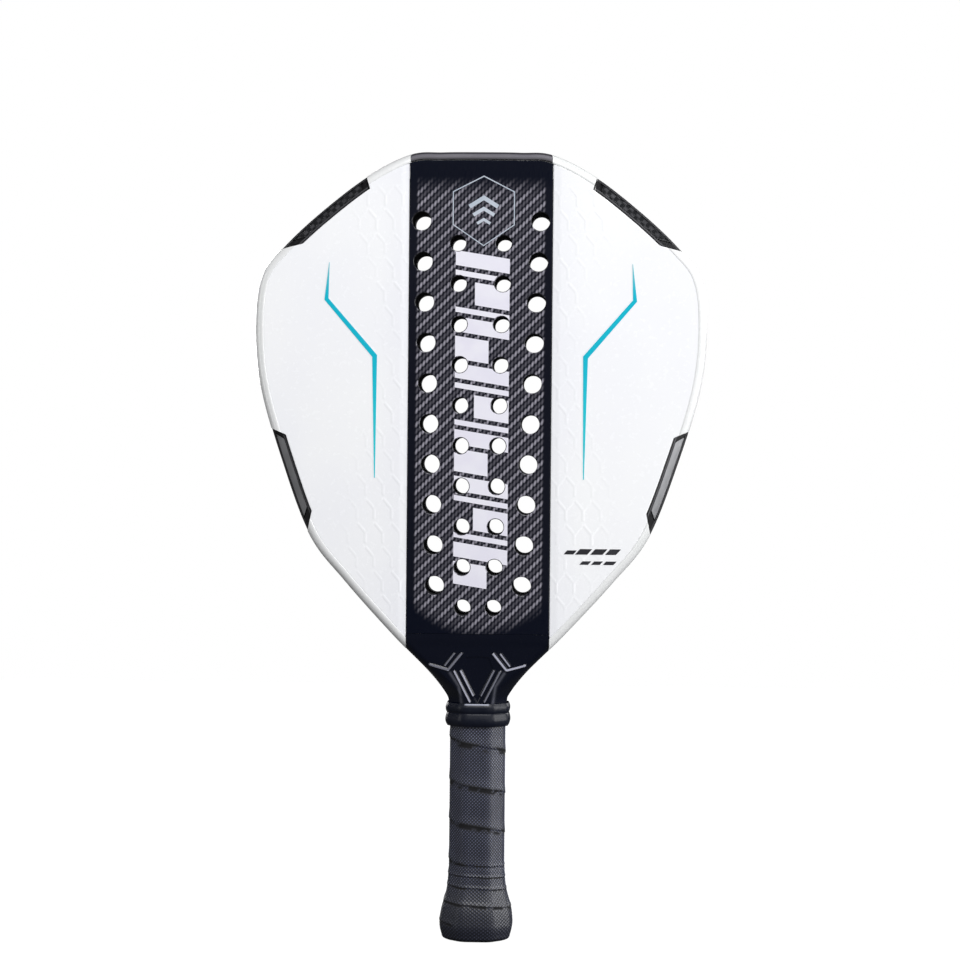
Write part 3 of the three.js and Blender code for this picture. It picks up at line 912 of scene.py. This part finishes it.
def noise(place, size, detail=3):
    """Noise from 0 to 1 with features of about a size in millimetres."""
    return node(place.id_data, "ShaderNodeTexNoise", place, None, 1 / size, detail).outputs[0]


def stored(tree, name):
    """A number that a piece keeps for each of its points."""
    return node(tree, "ShaderNodeAttribute", attribute_name=name).outputs["Fac"]


def make_material(name, build, **constants):
    """A principled material. Constants name its sockets with _ for a blank; build links the rest."""
    material = bpy.data.materials.new(name)
    material.use_nodes = True
    tree = material.node_tree
    tree.nodes.clear()
    shader = tree.nodes.new("ShaderNodeBsdfPrincipled")
    node(tree, "ShaderNodeOutputMaterial", shader.outputs[0])
    names = {key: key.replace("_", " ").title().replace("Ior", "IOR") for key in constants}
    for key, value in [*((names[k], v) for k, v in constants.items()), *build(tree).items()]:
        feed(tree, shader.inputs[key], value)
    return material


def moulded(name, base, other, grain, rough, depth, patch=14.0, painted_light_colour=None, **constants):
    """A painted or moulded material: soft patches of two colours, and a fine grain of a size, a range
    of roughness and a depth. The edge colour, if given, is painted where a piece marks it: a painted
    highlight where it is lighter, painted shade where it is darker."""
    def build(tree):
        place, _ = position(tree)
        fine_grain = noise(place, grain, 4)
        color = blend(ramp(noise(place, patch), 0.35, 0.65), srgb(*base), srgb(*other))
        if painted_light_colour:
            color = blend(stored(tree, "painted_light"), color, srgb(*painted_light_colour))
        return {"Base Color": color, "Roughness": ramp(fine_grain, 0.3, 0.7, *rough),
                "Normal": bump(fine_grain, depth)}
    return make_material(name, build, **constants)


TOW = 1.95  # width of a carbon tow
PLATE_TOW = 2.6
SLANT = 0.55  # how far the shine of a tow leans over its length, in tows


def plate_check(x, z):
    """1 where an upright tow lies on top in a plain weave, and how high the top tow's back stands."""
    column, row = calc("DIVIDE", x, PLATE_TOW), calc("DIVIDE", z, PLATE_TOW)
    cell = calc("SUBTRACT", calc("FLOOR", column), calc("FLOOR", row))
    upright = calc("LESS_THAN", calc("FLOORED_MODULO", cell, 2.0), 1.0)
    across, along = (calc("PINGPONG", calc("ADD", place, 100.0), 0.5) for place in (column, row))
    chosen = node(x.id_data, "ShaderNodeMix", upright, None, along, across).outputs[0]
    return upright, calc("POWER", product(chosen, 2.0), 0.6)


def bump(height, depth, strength=1.0):
    """Normal from a height of 0 to 1 that stands for a depth in millimetres."""
    made = node(height.id_data, "ShaderNodeBump")
    for name, value in (("Strength", strength), ("Distance", depth * MM), ("Height", height)):
        feed(height.id_data, made.inputs[name], value)
    return made.outputs[0]


def tow_shine(x, z):
    """The slanted shine on each upright run of a 2 by 2 twill: painted highlight in the colour, and the
    tows' height in the bump.
    """
    column, row = calc("DIVIDE", x, TOW), calc("DIVIDE", z, TOW)
    order = calc("ADD", calc("SUBTRACT", calc("FLOOR", column), row), 1.0)
    run = calc("SUBTRACT", calc("DIVIDE", calc("FLOORED_MODULO", order, 4.0), 2.0), 0.5)
    across = calc("SUBTRACT", calc("FRACT", column), 0.5)
    across = calc("SUBTRACT", across, product(run, -SLANT))
    fades = []
    for value, reach in ((across, 0.42), (run, 0.52)):
        share = calc("DIVIDE", value, reach)
        fades.append(calc("MAXIMUM", calc("SUBTRACT", 1.0, product(share, share)), 0.0))
    return product(*fades)


def carbon_build(tree):
    place, (x, _, z) = position(tree)
    fibres = noise(scaled(place, (5.0, 1.0, 0.25)), 1.0)
    under = tow_shine(calc("ADD", x, 2 * TOW), z)  # the tows that run across
    shine = calc("ADD", tow_shine(x, z), product(under, 0.28))
    side = calc("ABSOLUTE", x)
    head = ramp(z, 428.0, 441.0, 1.0, 0.0)
    foot = ramp(calc("SUBTRACT", z, product(side, side, 0.011)), 175.0, 186.0)
    ends = product(head, foot)
    shown = product(ramp(side, 35.8, 37.6, 1.0, 0.0), ends)
    dark = blend(noise(place, 45.0, 2), srgb(8, 11, 25), srgb(13, 15, 26))
    dark = blend(ends, srgb(2, 6, 22), dark)
    # The lit tows are painted lighter than the resin: a painted highlight.
    lit = product(shine, ramp(fibres, 0.3, 0.7, 0.6, 1.0), shown)
    return {"Base Color": blend(lit, dark, srgb(170, 167, 180)),
            "Roughness": ramp(fibres, 0.2, 0.8, 0.26, 0.42),
            "Normal": bump(product(shine, shown), 0.05, 0.6)}


def carbon_plate_build(tree):
    place, (x, _, z) = position(tree)
    side, half = calc("ABSOLUTE", x), math.sqrt(0.5)
    turned, crossed = (product(calc(way, side, z), half) for way in ("ADD", "SUBTRACT"))
    upright, back = plate_check(turned, crossed)
    patch = ramp(noise(place, 16.0, 2), 0.35, 0.7, 0.35, 1.0)
    return {"Base Color": blend(product(upright, back, patch), srgb(26, 27, 30), srgb(88, 88, 92)),
            "Roughness": ramp(back, 0.0, 1.0, 0.42, 0.25), "Normal": bump(back, 0.08)}


def white_build(tree):
    place, (x, _, _) = position(tree)
    peel = noise(place, 2.2, 2)
    near_strip = product(ramp(calc("ABSOLUTE", x), 44.0, 62.0, 1.0, 0.0), 0.25)
    clean = blend(ramp(noise(place, 60.0, 2), 0.3, 0.7), srgb(247, 248, 250), srgb(244, 245, 249))
    return {"Base Color": blend(near_strip, clean, srgb(230, 231, 240)),
            "Roughness": ramp(peel, 0.3, 0.7, 0.2, 0.28), "Normal": bump(peel, 0.012)}


def accent_build(tree):
    place, (_, _, z) = position(tree)
    middle = blend(ramp(z, 290.0, 345.0), srgb(40, 194, 208), srgb(20, 178, 202))
    return {"Base Color": blend(ramp(z, 372.0, 392.0), middle, srgb(110, 190, 200)),
            "Roughness": ramp(noise(place, 0.5, 2), 0.3, 0.7, 0.25, 0.4)}


def yoke_build(tree):
    place, _ = position(tree)
    fine_grain = noise(place, 1.6)
    color = blend(ramp(noise(place, 40.0, 2), 0.35, 0.65), srgb(2, 6, 22), srgb(5, 9, 24))
    # The stored values paint a highlight on the raised lines and in the creases.
    return {"Base Color": blend(stored(tree, "painted_light"), color, srgb(178, 180, 196)),
            "Roughness": ramp(fine_grain, 0.3, 0.7, 0.16, 0.26), "Normal": bump(fine_grain, 0.008)}


def overgrip_build(tree):
    place, (_, _, z) = position(tree)
    dots = stored(tree, "dot")
    wear = ramp(noise(place, 18.0), 0.35, 0.7)
    base = blend(wear, srgb(9, 11, 25), srgb(14, 17, 32))
    # The raised dots are lighter: a painted highlight on their tops.
    raised = blend(wear, srgb(90, 95, 121), srgb(116, 121, 147))
    color = blend(ramp(dots, 0.55, 0.9), base, raised)
    # Painted shade: darker towards the butt.
    color = blend(ramp(z, 12.0, 46.0, 0.65, 0.0), color, srgb(9, 12, 24))
    # Painted shade in patches beside the turns' edges, which are also rougher there.
    shade_patches = ramp(noise(place, 6.0, 2), 0.4, 0.52, 0.1, 1.0)
    painted_seam_shade = product(stored(tree, "seam_shade"), shade_patches)
    shine = ramp(dots, 0.3, 0.9, 0.48, 0.3)
    return {"Base Color": blend(painted_seam_shade, color, srgb(5, 5, 10)), "Roughness": calc("MAXIMUM", shine, painted_seam_shade),
            "Normal": bump(noise(place, 0.35), 0.03, 0.6)}


def foam_build(tree):
    place, _ = position(tree)
    cells = node(tree, "ShaderNodeTexVoronoi", place, None, 1.6).outputs[0]
    return {"Base Color": blend(noise(place, 9.0), srgb(22, 22, 26), srgb(34, 34, 40)),
            "Roughness": ramp(cells, 0.0, 0.7, 0.75, 0.95), "Normal": bump(cells, 0.12)}


WHITE = make_material("white_paint", white_build, coat_weight=0.6, coat_roughness=0.06,
                      specular_ior_level=0.4)
RIM_WHITE = moulded("rim_white", (228, 230, 230), (234, 235, 236), 2.2, (0.22, 0.3), 0.012, 60.0,
                    coat_weight=0.6, coat_roughness=0.06)
CARBON = make_material("carbon_twill", carbon_build, coat_weight=0.7, coat_roughness=0.04,
                       specular_ior_level=0.1)
# The band's darker edge colour is painted shade.
BUMPER = moulded("bumper_grey", (105, 103, 111), (113, 111, 118), 0.5, (0.5, 0.62), 0.03,
                 painted_light_colour=(56, 54, 60))
# The lighter edge colour is a painted highlight along the window's lips.
BEZEL = moulded("black_plastic", (18, 18, 21), (25, 25, 28), 0.4, (0.38, 0.5), 0.02,
                painted_light_colour=(112, 112, 116), specular_ior_level=0.4)
PLATE_CARBON = make_material("carbon_plate", carbon_plate_build, coat_weight=0.7, coat_roughness=0.12)
SATIN = moulded("satin_grey", (158, 159, 162), (170, 171, 174), 0.25, (0.34, 0.46), 0.008, metallic=0.55)
YOKE = make_material("yoke_gloss", yoke_build, coat_weight=0.6, coat_roughness=0.03,
                     specular_ior_level=0.1)
RUBBER = moulded("rubber", (11, 15, 28), (18, 21, 32), 0.7, (0.36, 0.5), 0.03, 9.0)
# The lighter edge colour is a painted highlight along the top edge of the flats.
COLLAR = moulded("collar_rubber", (9, 14, 28), (15, 19, 32), 0.7, (0.3, 0.44), 0.03, 9.0,
                 painted_light_colour=(150, 154, 170), specular_ior_level=0.3)
CAP_PLASTIC = moulded("cap_plastic", (28, 28, 34), (36, 36, 42), 0.6, (0.42, 0.58), 0.04)
OVERGRIP_SKIN = make_material("overgrip", overgrip_build, specular_ior_level=0.65)
FOAM = make_material("foam", foam_build)
HARD_FOAM = moulded("hard_foam", (176, 170, 154), (190, 184, 170), 0.8, (0.8, 0.95), 0.15)
GRIP_FOAM = moulded("grip_foam", (34, 35, 40), (42, 43, 48), 0.6, (0.75, 0.9), 0.1)
TAPE = moulded("tape", (18, 19, 23), (26, 27, 31), 1.2, (0.35, 0.5), 0.02, 6.0)
PRINT = moulded("print_light", (229, 227, 240), (234, 233, 243), 0.3, (0.28, 0.36), 0.004,
                coat_weight=0.8, coat_roughness=0.05)
BADGE_PRINT = moulded("print_badge", (176, 186, 200), (190, 198, 210), 0.3, (0.28, 0.36), 0.004,
                      coat_weight=0.8, coat_roughness=0.05)
DARK_PRINT = moulded("print_dark", (34, 34, 40), (42, 42, 48), 0.3, (0.3, 0.4), 0.004)
ACCENT = make_material("accent_blue", accent_build, coat_weight=0.15, coat_roughness=0.1,
                       specular_ior_level=0.2)


# ---------- the pieces ----------

SIDES = {"left": -1, "right": 1}
FACES = {"front": 1, "rear": -1}


def build_frame():
    bodies = [frame_sections(), *(facing(leg_sections(), (mirror, 1)) for mirror in (-1, 1))]
    rim = add_piece("frame_shell", *joined(map(loft, bodies)), RIM_WHITE, "white_paint", ["frame_tube"])
    cut_notches(rim)


STRIP_SURFACE = 18.88
HOLE_ROLL = (0.55, 0.5)  # width and depth of the rounded lip of a hole


def build_core_and_strips():
    quarter = [(0.5, -FACE_SEAT), (0.3, -FACE_SEAT), (0.08, -FACE_SEAT + 0.1), (0, -FACE_SEAT + 0.4),
               (0, -6)]
    wall = quarter + [(reach, -y) for reach, y in reversed(quarter)]
    add_piece("core_foam", *drilled_plate(core_outline, wall, 1), FOAM, "foam", ["eva_core"])
    reach, depth = HOLE_ROLL
    roll = [(reach * (1 - math.sin(a)), depth * (1 - math.cos(a)) - STRIP_SURFACE)
            for a in np.radians(np.linspace(0, 84, 10))]
    wall = [(reach + 0.08, -STRIP_SURFACE), *roll, (0, -18.0), (0, -FACE_SEAT - 0.02)]
    for face, depth_side in FACES.items():
        add_piece(f"carbon_strip_{face}", *drilled_plate(strip_outline, wall, depth_side), CARBON,
                  "carbon_twill", [f"{face}_carbon_strip"])


def build_wings():
    rows = wing_sections()
    for face, depth_side in FACES.items():
        for side, mirror in SIDES.items():
            add_piece(f"wing_{face}_{side}", *loft(facing(rows, (mirror, depth_side))), WHITE,
                      "white_paint", [f"{face}_wing_{side}"])


def build_bumper():
    lip = 17.2
    outer = [(RIM, -HALF_THICKNESS + 0.25), (RIM - 0.2, -HALF_THICKNESS + 0.04),
             (2.6, -HALF_THICKNESS + 0.02), (2.35, -HALF_THICKNESS + 0.28),
             *arc_points((RIM, RIM - HALF_THICKNESS), RIM, 238, 180, 9)]
    half = np.array([*outer, (0, -9), (0.25, -8.4), (0.25, -3.6), (0, -3)])
    inner = [(RIM, lip), (BUMPER_WALL, lip), (BUMPER_WALL, -lip), (RIM, -lip)]
    profile = np.vstack([both_halves(half), inner])

    def ends(inset):
        return 0.0, arc_at_x(BUMPER_HALF_WIDTH, inset, False)
    right = swept(profile, [ends], [40])
    sections = np.concatenate([right[:0:-1] * (-1, 1, 1), right])
    bumper = add_piece("bumper_band", *loft(sections), BUMPER, "bumper_grey", ["top_bumper"])
    # Painted shade on the band's curved edges.
    edges = (profile[:, 0] < 1.5) | (profile[:, 0] > RIM - 0.3)
    add_value(bumper, "painted_light", np.tile(edges, len(sections)))
    bevel(bumper, 0.2)


def insert_surface(inset, lowered):
    """y of the front chamfer that an insert's pieces follow."""
    return -(HALF_THICKNESS - lowered - INSERT_CHAMFER + np.minimum(inset, INSERT_CHAMFER))


LIP_SHINE = {2: 0.6, 8: 0.35}  # painted highlight, by a lip's place in the section: the window's inner and outer lip


def build_inserts():
    low, high = WINDOW_INSETS
    floor = 2 * GAP + PLATE_SUNK + PLATE_THICKNESS
    insets = [INSERT_DEPTH, INSERT_CHAMFER, high + 0.02, high, 4, 3, 2, low, low - 0.02, 0.25, 0, 0]
    proud = [insert_surface(i, GAP) for i in insets[:-2]] + [insert_surface(0, GAP) + 0.2, -5.0]
    sunk = [insert_surface(i, floor) if low <= i <= high else y for i, y in zip(insets, proud)]
    insets = np.array(insets + insets[::-1])
    proud, sunk = (np.stack([insets, y + [-v for v in y[::-1]]], -1) for y in (proud, sunk))
    for level, spec in INSERTS.items():
        notch, window = notch_ends(spec, 0), window_ends(spec, 0)
        sections = np.concatenate([
            swept(proud, [lambda i: (notch(i)[0], window(i)[0])], [4]), swept(sunk, [window], [50]),
            swept(proud, [lambda i: (window(i)[1], notch(i)[1])], [4])])
        lip_highlight = np.zeros(sections.shape[:2])
        for place, shine in LIP_SHINE.items():
            lip_highlight[:, [place, -1 - place]] = shine
        for side, mirror in SIDES.items():
            bezel = add_piece(f"bezel_{level}_{side}", *loft(facing(sections, (mirror, 1))), BEZEL,
                              "black_plastic", [f"insert_bezel_{level}_{side}"])
            add_value(bezel, "painted_light", lip_highlight.ravel())
            build_insert_plates(level, spec, side, mirror)


PLATE_CROWN = 0.12


def build_insert_plates(level, spec, side, mirror):
    low, high = WINDOW_INSETS[0] + GAP, WINDOW_INSETS[1] - GAP
    top = GAP + PLATE_SUNK
    across = np.linspace(high, low, 7)
    sag = PLATE_CROWN * ((across - across.mean()) / (high - low) * 2) ** 2
    front = np.stack([across, insert_surface(across, top) + sag], -1)
    ends = across[[-1, 0]]
    back = np.stack([ends, insert_surface(ends, top + PLATE_THICKNESS)], -1)
    sections = swept(np.vstack([front, back]), [window_ends(spec, GAP)], [48])
    material, slot = (PLATE_CARBON, "carbon_plate") if level == "upper" else (SATIN, "satin_grey")
    for face, depth_side in FACES.items():
        bevel(add_piece(f"plate_{level}_{side}_{face}", *loft(facing(sections, (mirror, depth_side))),
                        material, slot, [f"insert_plate_{level}_{side}_{face}"]), 0.18)


def build_prints():
    cut = [(x, z, radius + PRINT_MARGIN) for x, z, radius in HOLES]
    strip, wing = (STRIP_PRINT_FOOT, cut, "carbon_twill"), (WING_PRINT_FOOT, (), "white_paint")
    right, left = ([[ribbon(np.multiply(ACCENT_LINE, (mirror, 1)), ACCENT_WIDTHS)]] for mirror in (1, -1))
    layers = [
        ("stripes", strip_graphics(), PRINT, PRINT_TOP, *strip),
        ("badge", badge(), BADGE_PRINT, PRINT_TOP, *strip),
        ("accent_right", right, ACCENT, ACCENT_TOP, *wing),
        ("marks", small_marks(), DARK_PRINT, PRINT_TOP, *wing),
        ("accent_left", left, ACCENT, ACCENT_TOP, *wing),
    ]
    for face, depth_side in FACES.items():
        for name, shapes, material, top, foot, holes, slot in layers:
            points, faces = print_layer(shapes, -foot, -top, holes)
            # The rear face carries the same prints, turned round the racket's length.
            points = facing(points, (depth_side, depth_side))
            add_piece(f"print_{name}_{face}", points, faces, material, slot)


def build_throat():
    rows, painted_highlight = throat_sections()
    for face, depth_side in FACES.items():
        cover = add_piece(f"throat_{face}", *loft(facing(rows, (1, depth_side))), YOKE, "yoke_gloss",
                          [f"throat_cover_{face}"], sharp=50)
        add_value(cover, "painted_light", painted_highlight)


COLLAR_BAR = (7, 137.0)  # half length and foot of the painted highlight on the top edge of the collar's flats


def build_handle():
    points, faces, marks = overgrip()
    grip = add_piece("overgrip_wrap", points, faces, OVERGRIP_SKIN, "overgrip", ["overgrip"], sharp=60)
    add_value(grip, "dot", marks[:, 0])
    add_value(grip, "seam_shade", marks[:, 1])
    points, faces = sleeve([(COLLAR_INNER, COLLAR_SURFACE[0][1]), *curve_through(COLLAR_SURFACE, 6),
                            (COLLAR_INNER, COLLAR_SURFACE[-1][1])])
    collar = add_piece("collar_rings", points, faces, COLLAR, "rubber", ["collar"], sharp=50)
    x, y, z = points.T
    # Painted highlight along the top edge of the front and rear flats.
    add_value(collar, "painted_light", (np.abs(x) < COLLAR_BAR[0]) & (np.abs(y) > 12) & (z > COLLAR_BAR[1]))
    wall = OVERGRIP + BASE_GRIP + 2 * GAP
    outside = [(r - wall, z) for r, z in curve_through(GRIP_SURFACE, 4) if z < CAP_HEAD]
    foot = curve_through([(PLUG_RADIUS + 1.2, 0.35), (PLUG_RADIUS + 2.5, 0), (15.6, 0), (16.6, 0.2),
                          (17.5, 0.9), (18.3, 2.0), (18.6, 3.2)], 4)
    foot[:, 1] = np.maximum(foot[:, 1], 0)
    cap = [(PLUG_RADIUS + GAP, 0.6), *foot, (outside[0][0], 3.2), *outside, (CAP_BORE, CAP_HEAD),
           (CAP_BORE, CAP_FLOOR), (PLUG_RADIUS + GAP, CAP_FLOOR)]
    add_piece("butt_cap_shell", *sleeve(cap), CAP_PLASTIC, "black_plastic", ["butt_cap"])
    plug = [(CORD_HOLE, 0.9), (CORD_HOLE + 0.4, 0.5), (PLUG_RADIUS - 1.2, 0.4), (PLUG_RADIUS - 0.4, 0.6),
            (PLUG_RADIUS, 1.2), (PLUG_RADIUS, 3.8), (CORD_HOLE, 3.8)]
    add_piece("butt_plug_rubber", *sleeve(plug, 96), RUBBER, "rubber", ["butt_plug"])


def dress_cad_nodes():
    """Procedural materials for the CAD nodes that stay."""
    kept = {"throat_bridge": HARD_FOAM, "handle_pallet_front": HARD_FOAM, "handle_pallet_rear": HARD_FOAM,
            "handle_filler": FOAM, "base_grip": GRIP_FOAM, "finishing_tape": TAPE}
    for name, material in kept.items():
        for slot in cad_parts[name].material_slots:
            slot.material = material


# ---------- floor, light and camera ----------

CAMERA_PLACE = (60, -1519, 287)
CAMERA_TARGET = (0.7, -HALF_THICKNESS, 266.8)
CAMERA_LENS = 98.15
CAMERA_ROLL = 0.52  # degrees; the top of the racket leans right
FLOOR_HALF = 1600


def build_floor():
    mesh = bpy.data.meshes.new("floor")
    corners = np.array([(-1, -1, 0), (1, -1, 0), (1, 1, 0), (-1, 1, 0)]) * FLOOR_HALF * MM
    mesh.from_pydata(corners.tolist(), [], [(0, 1, 2, 3)])

    def build(tree):
        tone = noise(position(tree)[0], 90.0, 2)
        return {"Base Color": blend(tone, (0.06, 0.06, 0.06, 1), (0.065, 0.065, 0.065, 1)),
                "Roughness": ramp(tone, 0.3, 0.7, 0.8, 0.9),
                "Emission Strength": product(seen_by_camera(tree), 0.98)}
    mesh.materials.append(make_material("floor", build, emission_color=(1, 1, 1, 1)))
    floor = add_object("floor", mesh)


def seen_by_camera(tree):
    return node(tree, "ShaderNodeLightPath").outputs["Is Camera Ray"]


WORLD_LIGHT = 0.06  # for a white that the camera sees as 1


def build_world():
    """White behind the racket; what lights it is dimmer, so that the dark gloss stays dark."""
    world = bpy.data.worlds.new("studio")
    bpy.context.scene.world = world
    world.use_nodes = True
    tree = world.node_tree
    tree.nodes.clear()
    strength = node(tree, "ShaderNodeMix", seen_by_camera(tree), None, WORLD_LIGHT, 1.0).outputs[0]
    background = node(tree, "ShaderNodeBackground", (1, 1, 1, 1), strength)
    node(tree, "ShaderNodeOutputWorld", background.outputs[0])


def aimed(place, target):
    """Where a lamp or camera stands, and its turn towards a target."""
    place, target = Vector(place) * MM, Vector(target) * MM
    return Matrix.Translation(place) @ (target - place).to_track_quat("-Z", "Y").to_matrix().to_4x4()


def add_softbox(name, place, target, size, power):
    light = bpy.data.lights.new(name, "AREA")
    light.shape = "RECTANGLE"
    light.size, light.size_y = size[0] * MM, size[1] * MM
    light.energy = power
    add_object(name, light).matrix_world = aimed(place, target)


def build_lights():
    middle = (0, 0, 260)
    add_softbox("key_right", (1300, -420, 420), middle, (900, 1200), 19.5)
    add_softbox("front_top", (200, -1500, 1500), middle, (1300, 700), 31)
    add_softbox("fill_left", (-1300, -700, 420), middle, (600, 1000), 4)
    add_softbox("bounce", (420, -1100, 70), (0, 0, 20), (500, 200), 0.9)
    add_softbox("back_left", (-900, 1200, 700), middle, (900, 900), 14)
    add_softbox("back_right", (1100, 1100, 900), middle, (900, 900), 14)


def build_camera():
    data = bpy.data.cameras.new("camera")
    data.lens = CAMERA_LENS
    data.sensor_width = 36
    data.clip_start = 0.05
    camera = add_object("camera", data)
    roll = Matrix.Rotation(math.radians(CAMERA_ROLL), 4, "Z")
    camera.matrix_world = aimed(CAMERA_PLACE, CAMERA_TARGET) @ roll
    bpy.context.scene.camera = camera


build_camera()
build_frame()
build_core_and_strips()
build_wings()
build_bumper()
build_inserts()
build_prints()
build_throat()
build_handle()
dress_cad_nodes()
build_floor()
build_world()
build_lights()
bpy.context.scene.view_settings.view_transform = "Standard"
